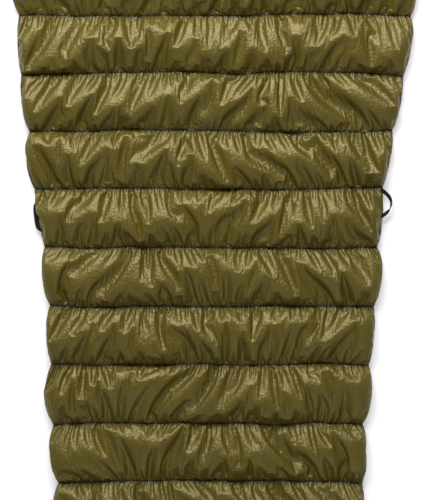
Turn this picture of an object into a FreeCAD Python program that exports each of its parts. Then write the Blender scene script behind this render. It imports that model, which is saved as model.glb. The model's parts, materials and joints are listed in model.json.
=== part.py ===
"""Camp quilt: a tapered, baffled sleeping quilt lying flat, in three sections that fold at two seams.

Millimetres. +Y points to the head end, +X to the quilt's right-hand edge, +Z up.
The origin is on the ground, under the middle of the quilt.
"""

import FreeCAD, Part
import math
import os

V = FreeCAD.Vector

# ---- driving dimensions: the quilt's plan ----
BAFFLES = 11                # transverse chambers, counted from the head end
PITCH = 172.0               # seam to seam, along the quilt
LENGTH = BAFFLES * PITCH
FOOT_HALF_WIDTH = 452.0     # half the width at the foot edge
TAPER = 0.0523              # half-width gained per millimetre towards the head
FLARE = 60.0                # extra half-width at the shoulders
FLARE_START = 640.0         # distances from the foot edge, where the flare begins and ends
FLARE_END = 1670.0
PINCH = 12.0                # how far each side edge is drawn in at a seam
PINCH_RUN = 34.0            # length of edge, beside each seam, that the pinch reaches
HEAD_FOLD_SEAM = 2          # seams are counted from 0 at the head edge
FOOT_FOLD_SEAM = 8

# ---- driving dimensions: a chamber's section ----
LOFT = 52.0                 # ground to crest
SEAM_TOP = 25.0             # height of the shell at a seam
SEAM_BOTTOM = 10.0          # height of the liner at a seam
UNDERSIDE_RISE = 36.0       # how far from a seam the liner reaches the ground
SKIN = 0.6                  # shell, liner and side-wall fabric
WALL = 0.4                  # baffle wall between chambers
TOUCH = 0.05                # gap between sewn sheets
CLEAR = 0.3                 # gap between the fill and the fabric round it
FOLD_SLIT = 0.5             # each section stops this far from its fold seam
THREAD_R = 0.4
THREAD_LIFT = 0.6           # thread axis above the seam's groove

# ---- hems, drawcords and cord locks ----
CASING_DEPTH = 18.0
CASING_HEIGHT = 7.0
CASING_WALL = 0.7
CASING_Z = 17.0             # axis height of hems, cords, tabs and loops
CORD_R = 1.5
CORD_ROOT = 12.0            # from a hem's far mouth to the cord's stitched end
CORD_TAIL = 100.0           # cord beyond the end of its hem
CORD_END_R = 3.2
CORD_END_LENGTH = 11.0
CORD_END_NECK = 4.0
LOCK_R = 7.5
LOCK_BOTTOM = 6.0
LOCK_TOP = 22.0
LOCK_FLOOR = 1.2
LOCK_GAP = 3.0              # between the hem's mouth and the lock
LOCK_HOLE_R = 1.7
LOCK_ROUND = 1.2
BUTTON_R = 5.2
BUTTON_BORE_R = 5.3
BUTTON_CAP_R = 6.7
BUTTON_CAP_HEIGHT = 3.0
BUTTON_TRAVEL = 3.0
BUTTON_FOOT = 13.0          # height of the button's lower end at rest
BUTTON_PLAY = 0.3           # round the cord, in the button's slot and under its cap
BUTTON_ROUND = 1.0
SPRING_R = 3.9
SPRING_WIRE_R = 0.4
SPRING_TURNS = 3.0
SPRING_PLAY = 0.15          # between the spring and what it pushes on

# ---- corner tabs and snaps ----
TAB_REACH = 30.0
TAB_ROOT = 46.0             # from a corner to the middle of its tab
TAB_WIDTH = 22.0
TAB_THICK = 1.2
TAB_ROUND = 5.0
SNAP_OUT = 18.0             # snap centre, from the quilt's edge
SNAP_R = 6.2
SNAP_CAP_HEIGHT = 1.6
SNAP_CAP_ROUND = 0.9
SNAP_POST_R = 1.4
SNAP_POST_REACH = 1.0       # of the post, below the tab
SNAP_PLATE = 1.2            # flange of the lower half
SNAP_HEIGHT = 3.4           # of the whole lower half
SNAP_STUD_R = 2.9
SNAP_SOCKET_R = 3.1
SNAP_COLLAR_R = 5.0

# ---- pad-strap loops on the side edges ----
LOOP_LENGTH = 80.0          # along the edge, end to end
LOOP_FREE = 28.0            # half the length of the part that swings
LOOP_BEND = 31.0            # from the loop's middle to where it leaves the edge
LOOP_REACH = 16.0           # how far an arched loop stands out
LOOP_WIDTH = 10.0
LOOP_THICK = 1.4
LOOP_SLIT = 0.3
FLAT_LOOP_WIDTH = 14.0
FLAT_LOOP_AXIS = 1.4        # swing axis of a flat loop, out from the edge
HIP_LOOP_Y = 25.0
HIP_LOOP_STAGGER = 19.0     # the right loop lies this much nearer the head, the left nearer the foot
SHOULDER_LOOP_Y = 848.0


# ---- plan ----
def seam_y(i):
    """Y of seam i, where seam 0 is the head edge and seam BAFFLES the foot edge."""
    return LENGTH / 2 - i * PITCH


def half_width(y):
    """Half the quilt's width at y: a straight taper plus a smooth flare at the shoulders."""
    from_foot = y + LENGTH / 2
    t = min(1.0, max(0.0, (from_foot - FLARE_START) / (FLARE_END - FLARE_START)))
    return FOOT_HALF_WIDTH + TAPER * from_foot + FLARE * t * t * (3 - 2 * t)


def outline_x(y):
    """The quilt's right-hand edge at y: half the width, drawn in near each seam."""
    from_seam = (LENGTH / 2 - y) % PITCH
    nearest = min(from_seam, PITCH - from_seam)
    return half_width(y) - PINCH * max(0.0, 1 - nearest / PINCH_RUN)


def chamber_ys(head, foot, first, last):
    """The edge's corners from y = head to y = foot, for the chambers between two seams."""
    ys = [head]
    for i in range(first, last):
        ys += [seam_y(i) - PINCH_RUN, seam_y(i + 1) + PINCH_RUN, seam_y(i + 1)]
    return ys[:-1] + [foot]


def section_ys(first, last):
    """As chamber_ys, for a whole section. A fold seam is left open by a slit."""
    head = seam_y(first) - (FOLD_SLIT if first else 0)
    foot = seam_y(last) + (FOLD_SLIT if last < BAFFLES else 0)
    return chamber_ys(head, foot, first, last)


def plan_prism(ys, inset, side=0, wide=0.0):
    """An upright prism on the quilt's plan between the first and last of ys, its sides moved in
    by inset. With a side, -1 or 1, only a strip of that width along that edge."""
    right = [(outline_x(y) - inset, y) for y in ys]
    if side:
        inner = [(x - wide, y) for x, y in reversed(right)]
        points = [(side * x, y) for x, y in right + inner]
    else:
        points = right + [(-x, y) for x, y in reversed(right)]
    corners = [V(x, y, -1.0) for x, y in points]
    face = Part.Face(Part.makePolygon(corners + corners[:1]))
    return face.extrude(V(0, 0, LOFT + 2.0))


# ---- chamber section, in the Y-Z plane ----
def crest_arcs(first, last, shift):
    """The shell's line from seam first to seam last: one arc over each chamber."""
    edges = []
    for i in range(first, last):
        a, b = seam_y(i), seam_y(i + 1)
        edges.append(Part.Arc(
            V(0, a, SEAM_TOP + shift),
            V(0, (a + b) / 2, LOFT + shift),
            V(0, b, SEAM_TOP + shift),
        ).toShape())
    return edges


def underside_lines(first, last, shift):
    """The liner's line: down from each seam in an arc, flat on the ground, and up again."""
    run, rise = UNDERSIDE_RISE, SEAM_BOTTOM
    radius = (run * run + rise * rise) / (2 * rise)
    half = math.asin(run / radius) / 2
    mid_y = run - radius * math.sin(half)
    mid_z = radius * (1 - math.cos(half))
    edges = []
    for i in range(first, last):
        a, b = seam_y(i), seam_y(i + 1)
        down = [V(0, a, rise + shift), V(0, a - mid_y, mid_z + shift), V(0, a - run, shift)]
        up = [V(0, b + run, shift), V(0, b + mid_y, mid_z + shift), V(0, b, rise + shift)]
        edges.append(Part.Arc(*down).toShape())
        edges.append(Part.makeLine(down[2], up[0]))
        edges.append(Part.Arc(*up).toShape())
    return edges


def between(upper, lower):
    """A solid bar along X whose section lies between two lines that run the same way."""
    reach = half_width(LENGTH / 2) + 10
    start, end = upper[0].Vertexes[0].Point, upper[-1].Vertexes[-1].Point
    low_start, low_end = lower[0].Vertexes[0].Point, lower[-1].Vertexes[-1].Point
    sides = [Part.makeLine(start, low_start), Part.makeLine(end, low_end)]
    wire = Part.Wire(Part.__sortEdges__(upper + lower + sides))
    face = Part.Face(wire)
    face.translate(V(-reach, 0, 0))
    return face.extrude(V(2 * reach, 0, 0))


def chamber_bar(first, last, gap):
    """The inside of the chambers, held off the shell and liner by gap."""
    upper = crest_arcs(first, last, -SKIN - gap)
    return between(upper, underside_lines(first, last, SKIN + gap))


# ---- soft pieces ----
def shell(first, last):
    sheet = between(crest_arcs(first, last, 0), crest_arcs(first, last, -SKIN))
    return sheet.common(plan_prism(section_ys(first, last), 0))


def liner(first, last):
    sheet = between(underside_lines(first, last, SKIN), underside_lines(first, last, 0))
    return sheet.common(plan_prism(section_ys(first, last), 0))


def side_walls(first, last):
    """The edge fabric that closes the chambers' left and right ends."""
    bar, ys = chamber_bar(first, last, TOUCH), section_ys(first, last)
    return [bar.common(plan_prism(ys, 0, side, SKIN)) for side in (-1, 1)]


def fill(i):
    """The insulation in the chamber between seams i and i + 1."""
    gaps = []
    for seam in (i, i + 1):
        end_fabric = SKIN if seam in (0, BAFFLES) else WALL / 2
        slit = FOLD_SLIT if seam in (HEAD_FOLD_SEAM, FOOT_FOLD_SEAM) else 0
        gaps.append(end_fabric + slit + CLEAR)
    ys = chamber_ys(seam_y(i) - gaps[0], seam_y(i + 1) + gaps[1], i, i + 1)
    return chamber_bar(i, i + 1, CLEAR).common(plan_prism(ys, SKIN + CLEAR))


def cross_plate(y, thick, toward):
    """An upright strip of fabric across the quilt at a seam, between liner and shell."""
    low, high = SEAM_BOTTOM + SKIN + CLEAR, SEAM_TOP - SKIN - CLEAR
    near = min(y, y + toward * thick)
    width = 2 * (half_width(near) - PINCH - SKIN - CLEAR)
    return Part.makeBox(width, thick, high - low, V(-width / 2, near, low))


def baffle_walls(first, last):
    """The walls inside a section. The middle section also holds the walls of the two fold seams."""
    walls = [cross_plate(seam_y(i) - WALL / 2, WALL, 1) for i in range(first + 1, last)]
    if first == HEAD_FOLD_SEAM:
        walls.append(cross_plate(seam_y(first) - FOLD_SLIT, WALL, -1))
        walls.append(cross_plate(seam_y(last) + FOLD_SLIT, WALL, 1))
    return walls


def seam_threads(first, last):
    """The quilting threads, above the shell and under the liner at each seam inside a section."""
    threads = []
    for i in range(first + 1, last):
        reach = outline_x(seam_y(i)) - SKIN
        for z in (SEAM_TOP + THREAD_LIFT, SEAM_BOTTOM - THREAD_LIFT):
            start = V(-reach, seam_y(i), z)
            threads.append(Part.makeCylinder(THREAD_R, 2 * reach, start, V(1, 0, 0)))
    return threads


# ---- hems and drawcords ----
def hem_y(end):
    """The middle of the head (+1) or foot (-1) hem."""
    return end * (LENGTH / 2 + TOUCH + CASING_DEPTH / 2)


def end_panel(end):
    edge = end * LENGTH / 2
    return cross_plate(edge, SKIN, -end)


def bar_x(width, height, length, y, z):
    """A bar along X with a rounded section, centred on x = 0."""
    r = height / 2
    flat = width / 2 - r
    top = Part.makeLine(V(0, -flat, r), V(0, flat, r))
    right = Part.Arc(V(0, flat, r), V(0, flat + r, 0), V(0, flat, -r)).toShape()
    bottom = Part.makeLine(V(0, flat, -r), V(0, -flat, -r))
    left = Part.Arc(V(0, -flat, -r), V(0, -flat - r, 0), V(0, -flat, r)).toShape()
    face = Part.Face(Part.Wire([top, right, bottom, left]))
    face.translate(V(-length / 2, y, z))
    return face.extrude(V(length, 0, 0))


def casing(end):
    """The hem across the head or foot: a flat fabric tube for the drawcord."""
    length = 2 * mouth_x(end, 1)
    outer = bar_x(CASING_DEPTH, CASING_HEIGHT, length, hem_y(end), CASING_Z)
    inner_size = (CASING_DEPTH - 2 * CASING_WALL, CASING_HEIGHT - 2 * CASING_WALL)
    return outer.cut(bar_x(*inner_size, length + 2, hem_y(end), CASING_Z))


def mouth_x(end, side):
    """Where a hem ends."""
    return side * (outline_x(end * LENGTH / 2) - 1)


def lock_x(end, side):
    return mouth_x(end, side) + side * (LOCK_GAP + LOCK_R)


def tip_x(end, side):
    """Where the drawcord ends, beyond the hem."""
    return mouth_x(end, side) + side * CORD_TAIL


def drawcord(end, side):
    """An elastic cord from its stitched end, through the hem and out to its tip."""
    start, stop = sorted((-mouth_x(end, side) + side * CORD_ROOT, tip_x(end, side)))
    return Part.makeCylinder(CORD_R, stop - start, V(start, hem_y(end), CASING_Z), V(1, 0, 0))


def cord_end(end, side):
    """A small bell clamped on the cord's tip."""
    base = V(tip_x(end, side) + side * CLEAR, hem_y(end), CASING_Z)
    along = V(side, 0, 0)
    bell = Part.makeCone(CORD_R, CORD_END_R, CORD_END_NECK, base, along)
    body_length = CORD_END_LENGTH - CORD_END_NECK
    body = Part.makeCylinder(CORD_END_R, body_length, base + along * CORD_END_NECK, along)
    return bell.fuse(body).removeSplitter()


# ---- cord lock: a cup, a button with a slot for the cord, and a spring under the button ----
def upright(radius, low, high, x, y):
    return Part.makeCylinder(radius, high - low, V(x, y, low))


def rim_edges(shape, low):
    """The circular edges that lie above z = low."""
    return [e for e in shape.Edges if len(e.Vertexes) == 1 and e.BoundBox.ZMin > low]


def lock_body(end, side):
    x, y = lock_x(end, side), hem_y(end)
    cup = upright(LOCK_R, LOCK_BOTTOM, LOCK_TOP, x, y)
    cup = cup.makeFillet(LOCK_ROUND, rim_edges(cup, 0))
    bore = upright(BUTTON_BORE_R, LOCK_BOTTOM + LOCK_FLOOR, LOCK_TOP + 1, x, y)
    hole = Part.makeCylinder(LOCK_HOLE_R, 4 * LOCK_R, V(x - 2 * LOCK_R, y, CASING_Z), V(1, 0, 0))
    return cup.cut(bore).cut(hole)


def lock_button(end, side):
    """The button's slot lets it travel past the cord, which also holds the button in."""
    x, y = lock_x(end, side), hem_y(end)
    cap_bottom = LOCK_TOP + BUTTON_TRAVEL + BUTTON_PLAY
    stem = upright(BUTTON_R, BUTTON_FOOT, cap_bottom, x, y)
    cap = upright(BUTTON_CAP_R, cap_bottom, cap_bottom + BUTTON_CAP_HEIGHT, x, y)
    cap = cap.makeFillet(BUTTON_ROUND, rim_edges(cap, 0))
    half_slot = CORD_R + BUTTON_PLAY
    corner = V(x - 2 * LOCK_R, y - half_slot, CASING_Z - half_slot)
    slot = Part.makeBox(4 * LOCK_R, 2 * half_slot, 2 * half_slot + BUTTON_TRAVEL, corner)
    return stem.fuse(cap).removeSplitter().cut(slot)


def lock_spring(end, side):
    low = LOCK_BOTTOM + LOCK_FLOOR + SPRING_WIRE_R + SPRING_PLAY
    high = BUTTON_FOOT - SPRING_WIRE_R - SPRING_PLAY
    path = Part.makeHelix((high - low) / SPRING_TURNS, high - low, SPRING_R)
    ring = Part.Wire(Part.makeCircle(SPRING_WIRE_R, V(SPRING_R, 0, 0), V(0, 1, 0)))
    coil = Part.Wire(path.Edges).makePipeShell([ring], True, True)
    coil.translate(V(lock_x(end, side), hem_y(end), low))
    return coil


# ---- corner tabs and snaps ----
def edge_place(side, y):
    """A frame on the straight part of the edge of the chamber at y: x out, y along, z up."""
    chamber = int((LENGTH / 2 - y) // PITCH)
    corner_ys = (seam_y(chamber + 1) + PINCH_RUN, seam_y(chamber) - PINCH_RUN)
    low, high = [V(side * outline_x(corner), corner, CASING_Z) for corner in corner_ys]
    along = high - low
    turn = math.degrees(math.atan2(-along.x, along.y)) + (0 if side > 0 else 180)
    origin = low + along * ((y - low.y) / along.y)
    return FreeCAD.Placement(origin, FreeCAD.Rotation(V(0, 0, 1), turn))


def tab_place(end, side):
    return edge_place(side, end * (LENGTH / 2 - TAB_ROOT))


def put(shape, place):
    moved = shape.copy()
    moved.Placement = place.multiply(moved.Placement)
    return moved


def corner_tab(end, side):
    corner = V(CLEAR, -TAB_WIDTH / 2, -TAB_THICK / 2)
    blank = Part.makeBox(TAB_REACH - CLEAR, TAB_WIDTH, TAB_THICK, corner)
    at_tip = [e for e in blank.Edges if e.BoundBox.XMin > TAB_REACH - 1]
    blank = blank.makeFillet(TAB_ROUND, [e for e in at_tip if e.BoundBox.YLength < 1])
    hole = upright(SNAP_POST_R + TOUCH, -TAB_THICK, TAB_THICK, SNAP_OUT, 0)
    return put(blank.cut(hole), tab_place(end, side))


def snap_cap(end, side):
    """The outer cap, whose post goes down through the tab."""
    base = TAB_THICK / 2 + TOUCH
    cap = upright(SNAP_R, base, base + SNAP_CAP_HEIGHT, SNAP_OUT, 0)
    cap = cap.makeFillet(SNAP_CAP_ROUND, rim_edges(cap, base))
    post = upright(SNAP_POST_R, -TAB_THICK / 2 - SNAP_POST_REACH, base, SNAP_OUT, 0)
    return put(cap.fuse(post).removeSplitter(), tab_place(end, side))


def snap_half(end, side, is_stud):
    """The inner half of a snap, under its tab: a stud, or the socket that takes one."""
    top = -TAB_THICK / 2 - TOUCH
    low = top - SNAP_HEIGHT
    flange = upright(SNAP_R, top - SNAP_PLATE, top, SNAP_OUT, 0)
    boss = upright(SNAP_STUD_R if is_stud else SNAP_COLLAR_R, low, top, SNAP_OUT, 0)
    half = flange.fuse(boss).removeSplitter()
    half = half.cut(upright(SNAP_POST_R + TOUCH, top - SNAP_PLATE, top, SNAP_OUT, 0))
    if not is_stud:
        half = half.cut(upright(SNAP_SOCKET_R, low, top - SNAP_PLATE, SNAP_OUT, 0))
    return put(half, tab_place(end, side))


# ---- pad-strap loops ----
def arched_strap():
    """A webbing strip on edge: flat ends against the quilt and an arch between them."""
    foot, bend = LOOP_LENGTH / 2, LOOP_BEND
    lines = []
    for lift in (TOUCH, TOUCH + LOOP_THICK):
        crown = LOOP_REACH - LOOP_THICK + lift
        lines.append(Part.makeLine(V(lift, foot, 0), V(lift, bend, 0)))
        lines.append(Part.Arc(V(lift, bend, 0), V(crown, 0, 0), V(lift, -bend, 0)).toShape())
        lines.append(Part.makeLine(V(lift, -bend, 0), V(lift, -foot, 0)))
    for y in (foot, -foot):
        lines.append(Part.makeLine(V(TOUCH, y, 0), V(TOUCH + LOOP_THICK, y, 0)))
    face = Part.Face(Part.Wire(Part.__sortEdges__(lines)))
    face.translate(V(0, 0, -LOOP_WIDTH / 2))
    return face.extrude(V(0, 0, LOOP_WIDTH))


def flat_strap():
    """A webbing strip lying flat along the edge, just outside its swing axis."""
    corner = V(FLAT_LOOP_AXIS + CLEAR, -LOOP_LENGTH / 2, -LOOP_THICK / 2)
    return Part.makeBox(FLAT_LOOP_WIDTH, LOOP_LENGTH, LOOP_THICK, corner)


def piece_between(shape, low, high):
    """The part of a loop whose y, in the loop's own frame, lies between low and high."""
    size = 4 * LOOP_LENGTH
    return shape.common(Part.makeBox(size, high - low, size, V(-size / 2, low, -size / 2)))


def loop_swinging(strap, place):
    return put(piece_between(strap, -LOOP_FREE, LOOP_FREE), place)


def loop_ends(strap, place):
    """The two sewn ends, which stay with the quilt. Each reaches back to the quilt's edge."""
    box = strap.BoundBox
    back = V(-2 * PINCH, box.YMin, box.ZMin)
    root = Part.makeBox(2 * PINCH + box.XMin + LOOP_THICK / 2, box.YLength, box.ZLength, back)
    whole = strap.fuse(root)
    quilt = plan_prism(chamber_ys(LENGTH / 2, -LENGTH / 2, 0, BAFFLES), -TOUCH)
    start = LOOP_FREE + LOOP_SLIT
    ends = (piece_between(whole, start, LOOP_LENGTH), piece_between(whole, -LOOP_LENGTH, -start))
    return [put(e.removeSplitter(), place).cut(quilt) for e in ends]


def hip_place(side):
    return edge_place(side, HIP_LOOP_Y + side * HIP_LOOP_STAGGER)


def shoulder_place(side):
    return edge_place(side, SHOULDER_LOOP_Y)


# ---- export ----
def export(name, shapes):
    shapes = shapes if isinstance(shapes, list) else [shapes]
    solids = [s for shape in shapes for s in shape.Solids]
    for s in solids:
        if not s.isValid() or s.Volume <= 0:
            raise ValueError(f"{name} has a bad solid")
    Part.makeCompound(solids).exportStep(f"parts/{name}.step")


def build_sections():
    sections = {
        "head": (0, HEAD_FOLD_SEAM),
        "middle": (HEAD_FOLD_SEAM, FOOT_FOLD_SEAM),
        "foot": (FOOT_FOLD_SEAM, BAFFLES),
    }
    for name, (first, last) in sections.items():
        export(f"shell_{name}", shell(first, last))
        export(f"liner_{name}", liner(first, last))
        export(f"side_walls_{name}", side_walls(first, last))
        export(f"baffle_walls_{name}", baffle_walls(first, last))
        export(f"seam_threads_{name}", seam_threads(first, last))
    for i in range(BAFFLES):
        export(f"insulation_{i + 1:02d}", fill(i))


def build_hems():
    for name, end, side in (("head", 1, 1), ("foot", -1, -1)):
        export(f"{name}_end_panel", end_panel(end))
        export(f"{name}_hem", casing(end))
        export(f"{name}_drawcord", drawcord(end, side))
        export(f"{name}_cord_end", cord_end(end, side))
        export(f"{name}_cord_lock", lock_body(end, side))
        export(f"{name}_cord_lock_button", lock_button(end, side))
        export(f"{name}_cord_lock_spring", lock_spring(end, side))


def build_snaps():
    for name, end in (("neck", 1), ("foot", -1)):
        for label, side in (("left", -1), ("right", 1)):
            export(f"{name}_tab_{label}", corner_tab(end, side))
            export(f"{name}_snap_cap_{label}", snap_cap(end, side))
        export(f"{name}_snap_stud", snap_half(end, -1, True))
        export(f"{name}_snap_socket", snap_half(end, 1, False))


def build_loops():
    arched, flat = arched_strap(), flat_strap()
    export("hip_loop_right", loop_swinging(arched, hip_place(1)))
    export("hip_loop_left", loop_swinging(flat, hip_place(-1)))
    export("shoulder_loop_right", loop_swinging(arched, shoulder_place(1)))
    export("shoulder_loop_left", loop_swinging(arched, shoulder_place(-1)))
    export("hip_loop_ends", loop_ends(arched, hip_place(1)) + loop_ends(flat, hip_place(-1)))
    export("shoulder_loop_ends",
           loop_ends(arched, shoulder_place(1)) + loop_ends(arched, shoulder_place(-1)))


os.makedirs("parts", exist_ok=True)
build_sections()
build_hems()
build_snaps()
build_loops()
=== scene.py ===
"""Camp quilt: gathered fabric, fill, trim, materials, light and camera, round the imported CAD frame.

Metres, in the CAD's frame: +Y to the head end, +X to the quilt's right-hand edge, +Z up.
Chamber i lies between seams i and i + 1, and seam 0 is the head edge.
A sheet is a grid of points: rows run from one seam to the next, columns across the quilt.
"""

import json
import math
from concurrent.futures import ThreadPoolExecutor

import bpy
import numpy as np
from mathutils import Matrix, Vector


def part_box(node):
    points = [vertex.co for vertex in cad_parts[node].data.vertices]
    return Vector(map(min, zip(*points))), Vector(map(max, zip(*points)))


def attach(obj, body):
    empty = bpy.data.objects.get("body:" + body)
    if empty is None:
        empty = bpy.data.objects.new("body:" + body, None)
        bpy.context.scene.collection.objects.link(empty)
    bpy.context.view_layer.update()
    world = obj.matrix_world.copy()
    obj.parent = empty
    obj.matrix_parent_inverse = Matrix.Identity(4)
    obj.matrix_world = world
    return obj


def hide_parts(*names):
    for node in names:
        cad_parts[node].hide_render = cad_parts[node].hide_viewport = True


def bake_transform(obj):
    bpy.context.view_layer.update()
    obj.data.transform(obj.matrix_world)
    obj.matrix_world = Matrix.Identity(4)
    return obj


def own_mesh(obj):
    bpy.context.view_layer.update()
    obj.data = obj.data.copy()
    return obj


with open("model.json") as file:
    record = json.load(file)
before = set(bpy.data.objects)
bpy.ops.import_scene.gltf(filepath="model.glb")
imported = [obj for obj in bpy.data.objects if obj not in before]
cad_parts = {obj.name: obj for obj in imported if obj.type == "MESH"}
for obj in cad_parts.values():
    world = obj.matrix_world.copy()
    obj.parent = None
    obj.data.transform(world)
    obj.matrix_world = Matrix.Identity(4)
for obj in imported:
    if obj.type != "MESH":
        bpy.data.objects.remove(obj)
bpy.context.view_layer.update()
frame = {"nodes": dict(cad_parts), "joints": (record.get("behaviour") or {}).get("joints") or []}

MM = 0.001

# ---- plan, read from the frame ----
BAFFLES = 11
HEAD_FOLD, FOOT_FOLD = 2, 8                  # the seams where the quilt folds
FILLS = [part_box(f"insulation_{i + 1:02d}") for i in range(BAFFLES)]
SEAM_YS = [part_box("shell_head")[1].y]
SEAM_YS += [(a[0].y + b[1].y) / 2 for a, b in zip(FILLS, FILLS[1:])]
SEAM_YS += [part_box("shell_foot")[0].y]
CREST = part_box("shell_middle")[1].z
FABRIC_GAP = 0.9 * MM                        # from a fill solid to the outside of its fabric
WIDEST_PLACE = 34 * MM                       # from a chamber's head seam to its fill's widest place

# ---- shape of the chambers ----
SEAM_TOP = 17.5 * MM                         # shell at a seam
SEAM_LOW = 11.0 * MM                         # liner at a seam
END_TOP, END_LOW = 18.0 * MM, 15.5 * MM      # shell and liner where they run into a hem
HEM_OVERLAP = 3.0 * MM
EDGE_Z = 15.0 * MM                           # side seam
END_RUN = 46.0 * MM                          # how far in from the side edge the crest is reached
NOTCH = 12.0 * MM                            # how far a seam's ends are drawn in
NOTCH_SPREAD = 0.35                          # share by which that differs from seam to seam
BULGE_POWER = 2.6                            # higher makes a chamber's side edge squarer
BULGE_SPREAD = 3.0 * MM                      # how far in or out a chamber's side edge may lie
HIP_CHAMBER = 5
HIP_PULL = {-1: 9.0 * MM, 1: 5.0 * MM}       # how far the hip loops hold their chamber's ends in
LINER_POWER = 6.0                            # higher makes a chamber's underside flatter
FABRIC = 0.5 * MM                            # thickness
SEAM_SHADE = 6.5 * MM                        # how far the painted shade at a seam reaches
# How far each seam's middle lies to the right: the quilt was laid down a little crooked.
SEAM_SHIFT = np.array([4, 8, 13, 2, -3, -10, 0, 0, -4, -11, -6, -2]) * MM

# ---- cloth ----
ROWS, COLUMNS = 73, 513
SPACING = 2.2 * MM                           # about the distance between two columns
ROW_CROWDING = 0.45                          # 0 is even rows, 1 crowds them at the seams
SEAM_GATHER, CREST_GATHER = 1.18, 1.07       # fabric width for each unit of the quilt's width
LEAST_GATHER = 1.06                          # sewn fabric is never cut shorter than this
BUNCHES = 0.35                               # how unevenly the fabric is gathered along a seam
SLACK = 1.03                                 # fabric length for each unit from seam to seam
SLOW_SLIP, QUICK_SLIP = 10.0, 3.0            # millimetres the fabric was sewn off its place
FILL_LUMPS = 2.5 * MM
PUSH_SPREAD = 0.4                            # how unevenly the fill pushes
CREASES = 6.0 * MM                           # height of the first, random creases
JITTER = 0.06                                # random start, as a share of the thread spacing
BEND_REACH = 2                               # stiffness ties each point to the second one along
# Each level: every k-th thread, steps, push in metres a step, bending, fabric added, and how
# firmly a step holds the sheet to its base. The base is the fill, or the level before it.
SHELL_LEVELS = (
    (8, 200, 1.5e-6, 0.020, 1.00, 1.5e-4, "fill"),
    (4, 300, 1.0e-6, 0.020, 1.00, 1.5e-4, "fill"),
    (2, 150, 0.3e-6, 0.0040, 1.01, 8.0e-4, "itself"),
    (1, 150, 0.1e-6, 0.0005, 1.03, 2.0e-3, "itself"),
)
LINER_LEVELS = (
    (8, 60, -1.0e-6, 0.020, 1.00, 3.0e-4, "fill"),
    (4, 150, -0.5e-6, 0.010, 1.00, 3.0e-4, "fill"),
    (2, 100, -0.2e-6, 0.004, 1.01, 4.0e-4, "itself"),
)
RISE_HOLD = 0.35                             # raised fabric is held less firmly than sunken fabric
DAMPING = 0.9                                # share of its speed that fabric keeps each step
TOP_LIMIT = CREST + 9.0 * MM
GROUND = 0.4 * MM                            # the liner's lowest height
SHELL_LOWEST, LINER_HIGHEST = 14.5 * MM, 11.5 * MM
WORKERS = 4                                  # sheets that are worked out at the same time


# ---- random lines and fields ----
# Each is seeded, so that every run gives the same quilt.
def ease(f):
    return f * f * (3 - 2 * f)


def wander(seed, places, waves):
    """A smooth random line of about unit size, read at places in -1 ... 1."""
    knots = np.random.default_rng(seed).normal(size=int(waves) + 3)
    at = (np.clip(places, -1, 1) + 1) / 2 * (len(knots) - 1.001)
    low = at.astype(int)
    f = ease(at - low)
    return knots[low] * (1 - f) + knots[low + 1] * f


def lumps(seed, rows, columns, row_waves, column_waves):
    """A smooth random field of about unit size on a grid."""
    knots = np.random.default_rng(seed).normal(size=(int(row_waves) + 3, int(column_waves) + 3))
    y = np.linspace(0, knots.shape[0] - 1.001, rows)
    x = np.linspace(0, knots.shape[1] - 1.001, columns)
    j, i = y.astype(int)[:, None], x.astype(int)[None, :]
    fy, fx = ease(y[:, None] - j), ease(x[None, :] - i)
    head = knots[j, i] * (1 - fx) + knots[j, i + 1] * fx
    foot = knots[j + 1, i] * (1 - fx) + knots[j + 1, i + 1] * fx
    return head * (1 - fy) + foot * fy


# ---- plan ----
def half_width(y):
    """Half the CAD quilt's width at y, from the widest place of each chamber's fill."""
    knots = [(SEAM_YS[i] - WIDEST_PLACE, FILLS[i][1].x + FABRIC_GAP) for i in range(BAFFLES)]
    slope = (knots[-2][1] - knots[-1][1]) / (knots[-2][0] - knots[-1][0])
    foot_y = SEAM_YS[-1]
    knots.append((foot_y, knots[-1][1] + slope * (foot_y - knots[-1][0])))
    ys, widths = zip(*knots[::-1])
    return np.interp(y, ys, widths)


def notch(seam, side):
    """How far one end of a seam is drawn in."""
    return NOTCH * (1 + NOTCH_SPREAD * np.random.default_rng([seam, side + 1]).uniform(-1, 1))


def edge_x(i, t, side):
    """X of chamber i's side edge, t of the way from its head seam to its foot seam."""
    y = SEAM_YS[i] + (SEAM_YS[i + 1] - SEAM_YS[i]) * t
    bulge = 1 - np.abs(2 * t - 1) ** BULGE_POWER
    drawn = notch(i, side) * (1 - t) + notch(i + 1, side) * t
    if i == HIP_CHAMBER:
        puff = -HIP_PULL[side]
    else:
        puff = BULGE_SPREAD * np.random.default_rng([100 + i, side + 1]).uniform(-1, 1)
    shift = SEAM_SHIFT[i] * (1 - t) + SEAM_SHIFT[i + 1] * t
    return side * (half_width(y) - drawn * (1 - bulge) + puff * bulge) + shift


def is_end(seam):
    return seam in (0, BAFFLES)


def seam_heights(seam):
    """Height of the shell and of the liner at a seam."""
    return (END_TOP, END_LOW) if is_end(seam) else (SEAM_TOP, SEAM_LOW)


def seam_y(seam, places):
    """Y along a seam: nearly straight, with the small waves that stitching leaves."""
    if is_end(seam):
        toward = 1 if seam == 0 else -1
        return SEAM_YS[seam] + toward * HEM_OVERLAP + 0.6 * MM * wander(200 + seam, places, 17)
    waves = 2.4 * wander(200 + seam, places, 5) + 0.9 * wander(220 + seam, places, 17)
    droop_at_ends = 5 * wander(240 + seam, places, 1) * np.abs(places) ** 6
    return SEAM_YS[seam] + (waves + droop_at_ends) * MM


def seam_lift(seam, places):
    """The small rise and fall of a seam where the stitches pucker the fabric."""
    return 0.8 * MM * wander(260 + seam, places, 130)


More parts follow.
